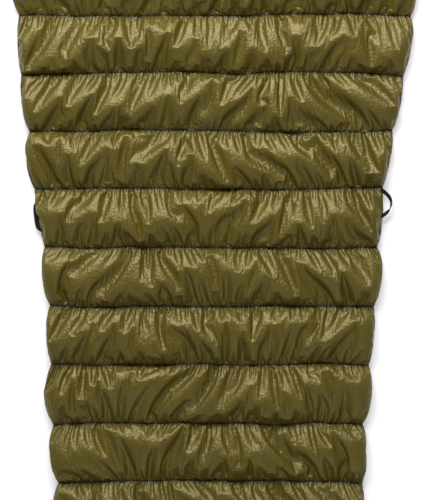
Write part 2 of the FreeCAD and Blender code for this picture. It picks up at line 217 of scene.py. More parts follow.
def column_places(i):
    """Column positions in -1 ... 1, evenly spaced over the crest and down its rounded ends."""
    reach = half_width((SEAM_YS[i] + SEAM_YS[i + 1]) / 2)
    samples = 4000
    x = np.linspace(1, 0, samples) * reach
    z = (CREST - EDGE_Z) * rounding(reach - x)
    along = np.concatenate([[0], np.cumsum(np.hypot(np.diff(x), np.diff(z)))])
    half = np.interp(np.linspace(0, along[-1], COLUMNS // 2 + 1), along, x / reach)
    return np.concatenate([-half, half[::-1][1:]])


def rounding(inset):
    """0 at the side edge, rising like a quarter circle to 1 at END_RUN inside it."""
    return np.sqrt(np.clip(1 - (1 - np.clip(inset / END_RUN, 0, 1)) ** 2, 0, 1))


def row_places():
    """Row positions, 0 at the head seam and 1 at the foot seam, closer together near both."""
    t = np.linspace(0, 1, ROWS)
    return t - ROW_CROWDING * np.sin(2 * math.pi * t) / (2 * math.pi)


def plump(i, is_shell):
    """The smooth, puffed shape of chamber i's shell or liner, before the fabric settles."""
    t, places = row_places()[:, None], column_places(i)[None, :]
    left, right = edge_x(i, t, -1), edge_x(i, t, 1)
    x = (left + right) / 2 + (right - left) / 2 * places
    y = seam_y(i, places) * (1 - t) + seam_y(i + 1, places) * t
    end = rounding(np.minimum(x - left, right - x))
    layer = 0 if is_shell else 1
    low = seam_heights(i)[layer] * (1 - t) + seam_heights(i + 1)[layer] * t
    if is_shell:
        arch = 1 - (2 * t - 1) ** 2
        middle = low + (CREST - low) * arch
        middle = middle + FILL_LUMPS * arch * lumps(150 + i, ROWS, COLUMNS, 1, 16)
    else:
        arch = 1 - np.abs(2 * t - 1) ** LINER_POWER
        middle = low + (GROUND - low) * arch
    z = EDGE_Z + (middle - EDGE_Z) * end
    lift = seam_lift(i, places) * (1 - t) ** 12 + seam_lift(i + 1, places) * t ** 12
    return np.stack([x, y, z + lift * end], -1).astype(np.float32)


# ---- cloth: threads that keep their length, relaxed from coarse to fine ----
def thread_families(rows, columns, bending):
    """Pairs of grid slices joined by threads, in groups that share no point, with a stiffness."""
    kinds = ((0, 1, 1.0), (1, 0, 1.0), (1, 1, 0.6), (1, -1, 0.6),
             (0, BEND_REACH, bending), (BEND_REACH, 0, bending))
    families = []
    for down, across, stiffness in kinds:
        reach = max(down, across)
        for start in range(2 * reach):
            if down:
                rows_a = slice(start, rows - down, 2 * down)
                rows_b = slice(start + down, rows, 2 * down)
                columns_a = slice(max(0, -across), columns - max(0, across))
                columns_b = slice(max(0, across), columns - max(0, -across))
            else:
                rows_a = rows_b = slice(None)
                columns_a = slice(start, columns - across, 2 * across)
                columns_b = slice(start + across, columns, 2 * across)
            families.append(((rows_a, columns_a), (rows_b, columns_b), stiffness))
    return families


def pull(points, free, a, b, rest, stiffness):
    """Moves the two ends of each thread towards their rest distance. Pinned points stay."""
    start, end = points[a], points[b]
    gap = end - start
    length = np.sqrt(np.einsum("rck,rck->rc", gap, gap))
    gap *= (stiffness * (length - rest) / (length * (free[a] + free[b]) + 1e-9))[..., None]
    start += gap * free[a][..., None]
    end -= gap * free[b][..., None]


def area_normals(points):
    """Normals of a sheet, as long as the area round each point. The border has none."""
    across, down = np.zeros_like(points), np.zeros_like(points)
    across[:, 1:-1] = points[:, 2:] - points[:, :-2]
    down[1:-1] = points[2:] - points[:-2]
    return np.cross(down, across)


def cut_length(target, gather, slip, a, b):
    """Length of the threads from a to b in the fabric as it was cut, before it was gathered."""
    gap = (target[b] - target[a]) * SLACK
    gap[..., 0] *= (gather[a] + gather[b]) / 2 / SLACK
    gap[..., 0] += slip[b] - slip[a]
    return np.linalg.norm(gap, axis=2)


def relax(points, base, threads, free, steps, push, hold, limits):
    """Settles a sheet over its base, from where it is now, between two heights."""
    out = area_normals(base)
    out /= np.linalg.norm(out, axis=2, keepdims=True) + 1e-12
    previous = points.copy()
    for _ in range(steps):
        move = (points - previous) * DAMPING
        previous[...] = points
        points += (move + area_normals(points) * push) * free[..., None]
        height = np.einsum("rck,rck->rc", points - base, out)
        give = np.where(height < 0, hold, hold * RISE_HOLD).astype(np.float32) * free
        points -= (height * give)[..., None] * out
        for a, b, stiffness, rest in threads:
            pull(points, free, a, b, rest, stiffness)
        inside = points[1:-1, 1:-1, 2]
        np.clip(inside, *limits, out=inside)


def finer(points):
    """Puts a new row between each two rows, and a new column between each two columns."""
    rows, columns = points.shape[:2]
    out = np.zeros((2 * rows - 1, 2 * columns - 1, 3), points.dtype)
    out[::2, ::2] = points
    out[1::2, ::2] = (points[1:] + points[:-1]) / 2
    out[:, 1::2] = (out[:, 2::2] + out[:, :-2:2]) / 2
    return out


def gathering(i):
    """How many times wider than the quilt the fabric is cut, at each point. Most at the seams."""
    near = np.abs(2 * row_places()[:, None] - 1) ** 2
    bunches = 1 + BUNCHES * lumps(360 + i, ROWS, COLUMNS, 1, 24)
    return 1 + (CREST_GATHER - 1) * (1 - near) + (SEAM_GATHER - 1) * near * bunches


def slipping(i):
    """How far to the right the fabric was sewn down from its true place, at each point."""
    places = np.linspace(-1, 1, COLUMNS)
    t = row_places()[:, None]
    slips = []
    for seam in (0, 1):
        slow = SLOW_SLIP * wander(300 + 2 * i + seam, places, 3)
        quick = QUICK_SLIP * wander(340 + 2 * i + seam, places, 13)
        slips.append((slow + quick) * MM)
    return slips[0] * (1 - t) + slips[1] * t


def settle(i, is_shell):
    """Chamber i's shell or liner after the cloth has settled."""
    target = plump(i, is_shell)
    limits = (SHELL_LOWEST, TOP_LIMIT) if is_shell else (GROUND, LINER_HIGHEST)
    rng = np.random.default_rng([400 + i, int(is_shell)])
    slip = slipping(i)
    pitch = np.maximum(np.gradient(target[..., 0], axis=1), SPACING / 2)
    gather = np.maximum(gathering(i), LEAST_GATHER - np.gradient(slip, axis=1) / pitch)
    gather, slip = gather.astype(np.float32), slip.astype(np.float32)
    levels = SHELL_LEVELS if is_shell else LINER_LEVELS
    points = None
    for every, steps, push, bending, added, hold, base in levels:
        goal = target[::every, ::every]
        free = np.zeros(goal.shape[:2], np.float32)
        free[1:-1, 1:-1] = 1
        first = points is None
        points = goal.copy() if first else finer(points)
        points[free == 0] = goal[free == 0]
        held_to = goal if base == "fill" else points.copy()
        if first:
            creases = CREASES * lumps(500 + i, *free.shape, 6, 50) * free
            points[..., 2] += creases.astype(np.float32)
        spacing = SPACING * every
        shake = rng.normal(size=points.shape).astype(np.float32)
        points += shake * JITTER * spacing * free[..., None]
        puff = 1 + PUSH_SPREAD * lumps(600 + i, *free.shape, 2, 14)
        force = (push / (4 * spacing * spacing) * puff)[..., None].astype(np.float32)
        wide, slid = gather[::every, ::every] * added, slip[::every, ::every]
        threads = [(a, b, stiffness, cut_length(goal, wide, slid, a, b))
                   for a, b, stiffness in thread_families(*free.shape, bending)]
        relax(points, held_to, threads, free, steps, force, hold, limits)
    return points


def settle_all():
    """Every chamber's settled shell, and every settled liner."""
    jobs = [(i, is_shell) for i in range(BAFFLES) for is_shell in (True, False)]
    with ThreadPoolExecutor(WORKERS) as pool:
        sheets = list(pool.map(lambda job: settle(*job), jobs))
    return sheets[::2], sheets[1::2]


# ---- meshes ----
def make_object(name, points, faces, material):
    """A smooth-shaded object. All its faces have the same number of corners."""
    mesh = bpy.data.meshes.new(name)
    faces = np.asarray(faces, np.int32)
    mesh.vertices.add(len(points))
    mesh.vertices.foreach_set("co", np.asarray(points, np.float32).ravel())
    mesh.loops.add(faces.size)
    mesh.loops.foreach_set("vertex_index", faces.ravel())
    mesh.polygons.add(len(faces))
    starts = np.arange(0, faces.size, faces.shape[1], dtype=np.int32)
    mesh.polygons.foreach_set("loop_start", starts)
    mesh.polygons.foreach_set("use_smooth", np.ones(len(faces), bool))
    mesh.update(calc_edges=True)
    mesh.materials.append(material)
    made = bpy.data.objects.new(name, mesh)
    bpy.context.scene.collection.objects.link(made)
    return made


def grid_faces(rows, columns, start=0):
    index = np.arange(start, start + rows * columns).reshape(rows, columns)
    corners = [index[:-1, :-1], index[1:, :-1], index[1:, 1:], index[:-1, 1:]]
    return np.stack(corners, -1).reshape(-1, 4)


def ring_faces(rings, sides):
    """Faces of a tube whose rings of points follow one another."""
    index = np.arange(rings * sides).reshape(rings, sides)
    wrapped = np.concatenate([index, index[:, :1]], 1)
    near, far = wrapped[:-1], wrapped[1:]
    return np.stack([near[:, :-1], near[:, 1:], far[:, 1:], far[:, :-1]], -1).reshape(-1, 4)


def border(rows, columns, start=0):
    """Indices round the border of a grid, once round."""
    index = np.arange(start, start + rows * columns).reshape(rows, columns)
    return np.concatenate([index[0, :-1], index[:-1, -1], index[-1, :0:-1], index[:0:-1, 0]])


def closed_faces(rows, columns):
    """Faces of a closed skin: one grid on top, an equal one below, and a rim between them."""
    top = grid_faces(rows, columns)
    low = grid_faces(rows, columns, rows * columns)[:, ::-1]
    a, b = border(rows, columns), border(rows, columns, rows * columns)
    rim = np.stack([a, np.roll(a, -1), np.roll(b, -1), b], -1)
    return np.concatenate([top, low, rim])


def unit_normals(points):
    across = np.gradient(points, axis=1)
    down = np.gradient(points, axis=0)
    out = np.cross(down, across)
    return out / (np.linalg.norm(out, axis=2, keepdims=True) + 1e-12)


def sheet(name, points, thickness, material):
    """A sheet of fabric with a real thickness, laid inside the given surface.

    Its attribute that masks the painted seam shade is 1 on the seams and fades to 0 a few millimetres
    away."""
    inner = points - unit_normals(points) * thickness
    rows, columns = points.shape[:2]
    skin = np.concatenate([points.reshape(-1, 3), inner.reshape(-1, 3)])
    made = make_object(name, skin, closed_faces(rows, columns), material)
    steps = np.linalg.norm(np.diff(points, axis=0), axis=2)
    along = np.concatenate([np.zeros((1, columns)), np.cumsum(steps, axis=0)])
    # Mask for the painted shade at the seams: 1 on a seam, fading away from it.
    near = np.exp(-np.minimum(along, along[-1:] - along) / SEAM_SHADE)
    layer = made.data.attributes.new("painted_seam_shade", "FLOAT", "POINT")
    layer.data.foreach_set("value", np.tile(near.ravel(), 2).astype(np.float32))
    return made


def tube(path, radius, sides):
    """Points and faces of a tube along a path. radius may be one number or one for each point.

    A tube of four sides is closed at its ends."""
    path = np.asarray(path, float)
    ahead = np.gradient(path, axis=0)
    ahead /= np.linalg.norm(ahead, axis=1, keepdims=True)
    up = np.where(np.abs(ahead[:, 2:]) > 0.9, [[1.0, 0, 0]], [[0.0, 0, 1.0]])
    side = np.cross(ahead, up)
    side /= np.linalg.norm(side, axis=1, keepdims=True)
    up = np.cross(side, ahead)
    angle = np.linspace(0, 2 * math.pi, sides, endpoint=False)[None, :, None]
    ring = np.cos(angle) * side[:, None] + np.sin(angle) * up[:, None]
    width = np.broadcast_to(np.asarray(radius, float).reshape(-1, 1, 1), (len(path), 1, 1))
    points = (path[:, None] + ring * width).reshape(-1, 3)
    faces = ring_faces(len(path), sides)
    if sides == 4:
        first, last = np.arange(4), np.arange(4) + len(points) - 4
        faces = np.concatenate([faces, [first[::-1], last]])
    return points, faces


def join(parts):
    """Several (points, faces) as one."""
    points, faces, count = [], [], 0
    for p, f in parts:
        points.append(p)
        faces.append(np.asarray(f) + count)
        count += len(p)
    return np.concatenate(points), np.concatenate(faces)


def joint(name):
    return next(j for j in frame["joints"] if j["name"] == name)


def fold(piece):
    """Bakes a piece's placing into its mesh and leaves it on no body."""
    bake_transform(piece)


def section(i):
    """The section that chamber i belongs to."""
    if i < HEAD_FOLD:
        return "head"
    return "middle" if i < FOOT_FOLD else "foot"


def attach_chamber(piece, i):
    """Chambers beside a fold seam only have their placing baked into the mesh. The others ride on
    their section.
    """
    if i in (HEAD_FOLD - 1, HEAD_FOLD):
        fold(piece)
    elif i in (FOOT_FOLD - 1, FOOT_FOLD):
        fold(piece)
    else:
        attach(piece, section(i))


def attach_seam(piece, seam):
    if seam in (HEAD_FOLD, FOOT_FOLD):
        fold(piece)
    else:
        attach(piece, section(seam))


# ---- materials ----
def new_material(name):
    material = bpy.data.materials.new(name)
    material.use_nodes = True
    nodes = material.node_tree.nodes
    shader = nodes["Principled BSDF"]
    where = nodes.new("ShaderNodeTexCoord").outputs["Object"]
    return material, shader, where


def link(material, a, b):
    material.node_tree.links.new(a, b)


def noise(material, where, size, detail=3.0, stretch=(1, 1, 1)):
    """A noise whose grains are about size metres across."""
    nodes = material.node_tree.nodes
    mapping = nodes.new("ShaderNodeMapping")
    mapping.inputs["Scale"].default_value = stretch
    texture = nodes.new("ShaderNodeTexNoise")
    texture.inputs["Scale"].default_value = 1 / size
    texture.inputs["Detail"].default_value = detail
    link(material, where, mapping.inputs["Vector"])
    link(material, mapping.outputs["Vector"], texture.inputs["Vector"])
    return texture.outputs["Fac"]


def crinkles(material, where, size):
    """Sharp, branching ridges about size metres apart, as in paper that was crumpled."""
    texture = material.node_tree.nodes.new("ShaderNodeTexNoise")
    texture.noise_type = "RIDGED_MULTIFRACTAL"
    texture.inputs["Scale"].default_value = 1 / size
    texture.inputs["Detail"].default_value = 2.0
    texture.inputs["Distortion"].default_value = 0.4
    link(material, where, texture.inputs["Vector"])
    return texture.outputs["Fac"]


def ribs(material, where, pitch, axis):
    """Parallel ribs across an axis, about that far apart."""
    wave = material.node_tree.nodes.new("ShaderNodeTexWave")
    wave.bands_direction = axis
    wave.inputs["Scale"].default_value = 1 / (2 * pitch)
    wave.inputs["Distortion"].default_value = 0.6
    link(material, where, wave.inputs["Vector"])
    return wave.outputs["Fac"]


def blend_colours(material, factor, first, second):
    mix = material.node_tree.nodes.new("ShaderNodeMix")
    mix.data_type = "RGBA"
    link(material, factor, mix.inputs["Factor"])
    for socket, value in ((mix.inputs["A"], first), (mix.inputs["B"], second)):
        if isinstance(value, tuple):
            socket.default_value = (*value, 1)
        else:
            link(material, value, socket)
    return mix.outputs["Result"]


def spread(material, factor, low, high):
    """Maps a 0 ... 1 factor to low ... high."""
    node = material.node_tree.nodes.new("ShaderNodeMapRange")
    node.inputs["To Min"].default_value = low
    node.inputs["To Max"].default_value = high
    link(material, factor, node.inputs["Value"])
    return node.outputs["Result"]


def cross_weave(material, where, across, along):
    """Ribs both ways, at two pitches, as in a plain weave."""
    node = material.node_tree.nodes.new("ShaderNodeMath")
    node.operation = "MULTIPLY"
    link(material, ribs(material, where, across, "X"), node.inputs[0])
    link(material, ribs(material, where, along, "Y"), node.inputs[1])
    return node.outputs["Value"]


def bump(material, shader, heights):
    """Adds bumps one on top of another: pairs of height and distance in metres."""
    normal = None
    for height, distance in heights:
        node = material.node_tree.nodes.new("ShaderNodeBump")
        node.inputs["Distance"].default_value = distance
        link(material, height, node.inputs["Height"])
        if normal is not None:
            link(material, normal, node.inputs["Normal"])
        normal = node.outputs["Normal"]
    link(material, normal, shader.inputs["Normal"])


def nylon(name, colour, deep, gloss):
    """Calendered downproof nylon: a fine plain weave with a broad, tinted shine.

    Close to a seam its colour is darkened: painted shade, where the fabric dips between the chambers."""
    material, shader, where = new_material(name)
    patches = noise(material, where, 90 * MM)
    grain = noise(material, where, 3 * MM, 5.0)
    tone = blend_colours(material, patches, deep, colour)
    faded = blend_colours(material, spread(material, grain, 0.0, 0.35), tone, colour)
    # Painted shade: near a seam the base colour fades to a near-black copy of the deep tone.
    seam = material.node_tree.nodes.new("ShaderNodeAttribute")
    seam.attribute_name = "painted_seam_shade"
    painted_seam_shade_colour = tuple(0.12 * c for c in deep)
    link(material, blend_colours(material, seam.outputs["Fac"], faded, painted_seam_shade_colour),
         shader.inputs["Base Color"])
    link(material, spread(material, patches, gloss - 0.05, gloss + 0.07),
         shader.inputs["Roughness"])
    shader.inputs["Metallic"].default_value = 0.33
    shader.inputs["Specular Tint"].default_value = (1, 0.97, 0.9, 1)
    shader.inputs["Specular IOR Level"].default_value = 0.6
    bump(material, shader, ((crinkles(material, where, 20 * MM), 1.0 * MM),
                            (noise(material, where, 7 * MM, 4.0), 2.0 * MM),
                            (cross_weave(material, where, 0.5 * MM, 0.5 * MM), 0.05 * MM)))
    return material


def webbing(name, colour):
    """Woven strap: ribs along and across, a dull shine and lint."""
    material, shader, where = new_material(name)
    lint = noise(material, where, 1.5 * MM, 6.0)
    link(material, blend_colours(material, lint, colour, tuple(2.2 * c for c in colour)),
         shader.inputs["Base Color"])
    link(material, spread(material, lint, 0.55, 0.85), shader.inputs["Roughness"])
    shader.inputs["Sheen Weight"].default_value = 0.05
    shader.inputs["Specular IOR Level"].default_value = 0.25
    weave = cross_weave(material, where, 1.1 * MM, 0.9 * MM)
    bump(material, shader, ((weave, 0.25 * MM), (lint, 0.05 * MM)))
    return material


def thread(name, colour):
    material, shader, where = new_material(name)
    fuzz = noise(material, where, 0.6 * MM)
    link(material, blend_colours(material, fuzz, colour, tuple(1.8 * c for c in colour)),
         shader.inputs["Base Color"])
    shader.inputs["Roughness"].default_value = 0.6
    bump(material, shader, ((ribs(material, where, 0.4 * MM, "DIAGONAL"), 0.08 * MM),))
    return material


def batting(name, colour):
    """Loose white fibre."""
    material, shader, where = new_material(name)
    fibres = noise(material, where, 2 * MM, 8.0, (1, 3, 1))
    link(material, blend_colours(material, fibres, tuple(0.8 * c for c in colour), colour),
         shader.inputs["Base Color"])
    shader.inputs["Roughness"].default_value = 0.95
    shader.inputs["Sheen Weight"].default_value = 0.5
    bump(material, shader, ((noise(material, where, 18 * MM), 4 * MM), (fibres, 0.6 * MM)))
    return material


def plastic(name, colour, gloss):
    """Moulded acetal: a fine spark texture, with scuffs."""
    material, shader, where = new_material(name)
    scuffs = noise(material, where, 4 * MM, 8.0)
    spark = noise(material, where, 0.35 * MM)
    link(material, blend_colours(material, scuffs, colour, tuple(2.2 * c for c in colour)),
         shader.inputs["Base Color"])
    link(material, spread(material, scuffs, gloss, gloss + 0.2), shader.inputs["Roughness"])
    bump(material, shader, ((spark, 0.04 * MM),))
    return material


def steel(name):
    material, shader, where = new_material(name)
    drawn = noise(material, where, 0.5 * MM, 4.0, (1, 1, 6))
    link(material, blend_colours(material, drawn, (0.45, 0.45, 0.47), (0.68, 0.68, 0.7)),
         shader.inputs["Base Color"])
    shader.inputs["Metallic"].default_value = 1.0
    link(material, spread(material, drawn, 0.25, 0.4), shader.inputs["Roughness"])
    bump(material, shader, ((drawn, 0.02 * MM),))
    return material


SHELL_NYLON = nylon("shell_nylon", (0.155, 0.120, 0.012), (0.122, 0.094, 0.009), 0.38)
LINER_NYLON = nylon("liner_nylon", (0.085, 0.070, 0.024), (0.065, 0.052, 0.017), 0.48)
EDGE_NYLON = nylon("edge_nylon", (0.100, 0.080, 0.024), (0.070, 0.056, 0.016), 0.48)
WEBBING = webbing("webbing", (0.007, 0.007, 0.008))
CORD = webbing("elastic_cord", (0.010, 0.010, 0.012))
THREAD = thread("thread", (0.030, 0.025, 0.010))
BATTING = batting("insulation", (0.80, 0.79, 0.75))
LOCK_PLASTIC = plastic("lock_plastic", (0.012, 0.012, 0.013), 0.38)
SNAP_PLASTIC = plastic("snap_plastic", (0.010, 0.010, 0.010), 0.2)
SPRING_STEEL = steel("spring_steel")


# ---- chambers ----
FILL_EVERY = 4                               # the fill has every fourth point of the fabric
FILL_INSET = 1.0 * MM                        # from the fabric to the fill
FILL_REACH = 7                               # points over which the fill evens out the fabric
FILL_LEAST = 0.5 * MM                        # the fill's least thickness
WALL = 0.4 * MM                              # thickness of a baffle wall
WALL_SHORT = 6                               # points by which a wall's ends stay inside the edge


def spread_by(z, reach, choose):
    """For each grid point, the lowest or highest value within reach steps, then smoothed."""
    for axis in (0, 1):
        z = choose([np.roll(z, k, axis) for k in range(-reach, reach + 1)], axis=0)
    for axis in (0, 1):
        z = np.mean([np.roll(z, k, axis) for k in range(-reach // 2, reach // 2 + 1)], axis=0)
    return z


def fill_mesh(name, i, shell, liner):
    """The lofted fill: a closed pad a little inside the settled shell and liner."""
    pads = []
    for is_shell, settled, choose, sign in ((True, shell, np.min, -1), (False, liner, np.max, 1)):
        step = (ROWS - 1) // (len(settled) - 1)
        pad = plump(i, is_shell)[::step, ::step].astype(float)
        pad[..., 2] = spread_by(settled[..., 2], FILL_REACH, choose) + sign * FILL_INSET
        every = FILL_EVERY // step
        inside = slice(every, -every, every)
        pads.append(pad[inside, inside])
    pads[1][..., 2] = np.minimum(pads[1][..., 2], pads[0][..., 2] - FILL_LEAST)
    rows, columns = pads[0].shape[:2]
    skin = np.concatenate([pad.reshape(-1, 3) for pad in pads])
    return make_object(name, skin, closed_faces(rows, columns), BATTING)


def make_chamber(i, shell, liner):
    """Chamber i's shell, liner and fill."""
    number = f"{i + 1:02d}"
    top = sheet(f"shell_{number}", shell, FABRIC, SHELL_NYLON)
    low = sheet(f"liner_{number}", liner[:, ::-1], FABRIC, LINER_NYLON)
    fill = fill_mesh(f"fill_{number}", i, shell, liner)
    where = section(i)
    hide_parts(f"shell_{where}")
    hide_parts(f"liner_{where}")
    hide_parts(f"insulation_{number}")
    for piece, slot in ((top, "shell_nylon"), (low, "liner_nylon"), (fill, "insulation")):
        attach_chamber(piece, i)


def seam_points(seam, lower=False):
    """Points along a seam's top or underside, end to end."""
    places = np.linspace(-1, 1, COLUMNS)
    i = min(seam, BAFFLES - 1)
    t = np.array(0.0 if seam < BAFFLES else 1.0)
    left, right = edge_x(i, t, -1), edge_x(i, t, 1)
    x = (left + right) / 2 + (right - left) / 2 * places
    end = rounding(np.minimum(x - left, right - x))
    z = EDGE_Z + ((SEAM_LOW if lower else SEAM_TOP) - EDGE_Z + seam_lift(seam, places)) * end
    return np.stack([x, seam_y(seam, places), z], -1)


def seam_owner(seam):
    """The section whose CAD nodes hold a seam. The middle holds both fold seams."""
    return "middle" if seam in (HEAD_FOLD, FOOT_FOLD) else section(seam)


def make_wall(seam):
    """The baffle wall under a seam, between liner and shell."""
    inset = slice(WALL_SHORT, -WALL_SHORT)
    top, low = seam_points(seam)[inset], seam_points(seam, True)[inset]
    top[:, 2] -= FABRIC
    low[:, 2] += FABRIC
    wall = sheet(f"baffle_wall_{seam:02d}", np.stack([top, low]), WALL, LINER_NYLON)
    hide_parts(f"baffle_walls_{seam_owner(seam)}")
    attach_seam(wall, seam)


STITCH = 3.4 * MM                            # length
STITCH_POINTS = 6
THREAD_RADIUS = 0.38 * MM


def stitched(path, lift):
    """A lockstitch along a path: the thread rises over the fabric and dips into it."""
    path = np.asarray(path, float)
    along = np.concatenate([[0], np.cumsum(np.linalg.norm(np.diff(path, axis=0), axis=1))])
    count = max(8, int(along[-1] / STITCH) * STITCH_POINTS)
    at = np.linspace(0, along[-1], count)
    fine = np.stack([np.interp(at, along, path[:, k]) for k in range(3)], -1)
    fine[:, 2] += lift * (0.2 + np.abs(np.sin(math.pi * at / STITCH)))
    return tube(fine, THREAD_RADIUS, 4)


def make_thread(seam):
    """The quilting stitches of a seam, above and below."""
    rows = [stitched(seam_points(seam), 0.8 * MM), stitched(seam_points(seam, True), -0.8 * MM)]
    piece = make_object(f"seam_thread_{seam:02d}", *join(rows), THREAD)
    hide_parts(f"seam_threads_{seam_owner(seam)}")
    attach_seam(piece, seam)


def make_edge_roll(i, side):
    """The rolled side seam that joins shell and liner along a chamber's end."""
    t = np.linspace(0, 1, 61)
    x = edge_x(i, t, side) - side * 0.6 * MM
    ends = np.full(1, float(side))
    y = seam_y(i, ends) * (1 - t) + seam_y(i + 1, ends) * t
    z = EDGE_Z + 0.5 * MM * wander(700 + 2 * i + side, 2 * t - 1, 12)
    radius = (1.5 + 0.25 * wander(750 + 2 * i + side, 2 * t - 1, 20)) * MM
    name = f"edge_seam_{i + 1:02d}_{'right' if side > 0 else 'left'}"
    roll = make_object(name, *tube(np.stack([x, y, z], -1), radius, 10), EDGE_NYLON)
    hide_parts(f"side_walls_{section(i)}")
    attach_chamber(roll, i)


# ---- hems, cords and locks ----
HEM_FABRIC = 0.7 * MM                        # thickness
BRAID = 130 * MM                             # length of cord that shows its braided cover
BRAID_LAY = 9 * MM                           # length in which a strand winds round once
BRAID_STRANDS = 5                            # in each direction
STRAND_RADIUS = 0.34 * MM
SPRING_WIRE, SPRING_TURNS = 0.4 * MM, 4      # radius, and how often it winds round
FLAT_TURN = 0.75                             # part of a turn that lies nearly flat at each end


def make_hem(name, seam):
    """The gathered cord tunnel across one end, and its row of stitches."""
    low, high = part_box(f"{name}_hem")
    centre, half = (low + high) / 2, (high - low) / 2
    columns, sides = 481, 28
    places = np.linspace(-1, 1, columns)[:, None]
    angle = np.linspace(0, 2 * math.pi, sides, endpoint=False)[None, :]
    folds = 0.9 * wander(800 + seam, places, 150) + 0.5 * wander(810 + seam, places, 70)
    outer_y = (half.y + folds * MM * 0.8) * np.cos(angle)
    outer_z = (half.z + folds * MM) * np.sign(np.sin(angle)) * np.abs(np.sin(angle)) ** 0.8
    sway = 0.6 * MM * wander(820 + seam, places, 9)
    walls = []
    for depth in (0, HEM_FABRIC):
        shrink = 1 - depth / half.z
        y = centre.y + sway + outer_y * shrink
        z = centre.z + outer_z * shrink
        x = np.broadcast_to(centre.x + places * half.x, y.shape)
        walls.append(np.stack([x, y, z], -1).reshape(-1, 3))
    count = columns * sides
    skin = ring_faces(columns, sides)
    mouths = []
    for start in (0, count - sides):
        ring = start + np.arange(sides)
        after = np.roll(ring, -1)
        mouth = np.stack([ring, after, after + count, ring + count], -1)
        mouths.append(mouth if start else mouth[:, ::-1])
    faces = np.concatenate([skin, skin[:, ::-1] + count] + mouths)
    hem = make_object(f"{name}_hem_tunnel", np.concatenate(walls), faces, EDGE_NYLON)
    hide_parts(f"{name}_hem", f"{name}_end_panel")
    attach(hem, name)
    inside = -1 if centre.y > 0 else 1
    line = np.stack([centre.x + places[:, 0] * (half.x - 3 * MM),
                     centre.y + sway[:, 0] + inside * half.y * 0.55,
                     centre.z + half.z * 0.86 + folds[:, 0] * MM * 0.8], -1)
    stitches = make_object(f"{name}_hem_stitching", *stitched(line, 0.6 * MM), THREAD)
    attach(stitches, name)


def make_cord(name):
    """Elastic cord in a braided cover. Two sets of strands wind opposite ways.

    The cover is modelled on the end that hangs out of the hem."""
    low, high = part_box(f"{name}_drawcord")
    centre, radius = (low + high) / 2, (high.z - low.z) / 2
    parts = [tube([(low.x, centre.y, centre.z), (high.x, centre.y, centre.z)], radius * 0.8, 4)]
    start = high.x - BRAID if centre.x > 0 else low.x
    x = np.linspace(start, start + BRAID, 190)
    for hand in (-1, 1):
        for k in range(BRAID_STRANDS):
            wound = hand * (x - start) / BRAID_LAY + k / BRAID_STRANDS
            turn = 2 * math.pi * wound
            reach = radius * (0.84 + 0.06 * np.cos(BRAID_STRANDS * turn * hand))
            y = centre.y + reach * np.cos(turn)
            z = centre.z + reach * np.sin(turn)
            parts.append(tube(np.stack([x, y, z], -1), STRAND_RADIUS, 4))
    cord = make_object(f"{name}_cord_braid", *join(parts), CORD)
    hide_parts(f"{name}_drawcord")
    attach(cord, name)


def make_spring(name):
    """The coil under a cord lock's button. It rides on the lock's body at its rest length."""
    node = f"{name}_cord_lock_spring"
    low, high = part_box(node)
    centre = (low + high) / 2
    radius = (high.x - low.x) / 2 - SPRING_WIRE
    turn = np.linspace(0, SPRING_TURNS, SPRING_TURNS * 28)
    steepness = np.clip(np.minimum(turn, SPRING_TURNS - turn) / FLAT_TURN, 0, 1)
    rise = np.cumsum(steepness)
    z = low.z + SPRING_WIRE + rise / rise[-1] * (high.z - low.z - 2 * SPRING_WIRE)
    x = centre.x + radius * np.cos(2 * math.pi * turn)
    y = centre.y + radius * np.sin(2 * math.pi * turn)
    wire = tube(np.stack([x, y, z], -1), SPRING_WIRE, 8)
    coil = make_object(f"{name}_lock_coil", *wire, SPRING_STEEL)
    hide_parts(node)
    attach(coil, f"{name}_lock")
    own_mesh(coil)


def finish_hard_parts():
    """CAD nodes whose shape is right keep it, and get their finish."""
    finishes = (("lock", LOCK_PLASTIC), ("cord_end", LOCK_PLASTIC), ("snap", SNAP_PLASTIC))
    for node, cad_object in frame["nodes"].items():
        for word, material in finishes:
            if word in node:
                cad_object.data.materials.clear()
                cad_object.data.materials.append(material)
                break


# ---- straps ----
def ribbon(path, across, width, thickness):
    """Points and faces of a woven strap: a closed band along a path, with a ribbed section."""
    path, across = np.asarray(path, float), np.asarray(across, float)
    across /= np.linalg.norm(across, axis=1, keepdims=True)
    ahead = np.gradient(path, axis=0)
    ahead /= np.linalg.norm(ahead, axis=1, keepdims=True)
    out = np.cross(across, ahead)
    out /= np.linalg.norm(out, axis=1, keepdims=True)
    lanes = 9
    u = np.linspace(-1, 1, lanes)
    rounded = np.sqrt(np.clip(1.15 - u ** 8, 0.1, 1))
    ribbed = 1 + 0.12 * np.cos(u * math.pi * 4)
    half = thickness / 2 * rounded * ribbed
    section_u = np.concatenate([u, u[::-1]])
    section_h = np.concatenate([half, -half[::-1]])
    width = np.broadcast_to(np.asarray(width, float).reshape(-1, 1), (len(path), 1)) / 2
    points = (path[:, None] + across[:, None] * (section_u[None] * width)[..., None]
              + out[:, None] * section_h[None, :, None])
    sides = 2 * lanes
    caps = []
    for start in (0, (len(path) - 1) * sides):
        for k in range(lanes - 1):
            quad = [start + k, start + k + 1, start + sides - 2 - k, start + sides - 1 - k]
            caps.append(quad if start else quad[::-1])
    faces = np.concatenate([ring_faces(len(path), sides), caps])
    return points.reshape(-1, 3), faces


LOOP_HALF = 40 * MM                          # half a loop's length along the edge
SEWN_IN = 5 * MM                             # how far a loop's ends reach into the side seam
STRAP_THICK = 1.3 * MM
TAB_WIDTH, TAB_THICK = 22 * MM, 1.2 * MM
TAB_SEWN = 6 * MM                            # how far a tab reaches into the side seam
TAB_CORNER = 6 * MM                          # length of its rounded tip


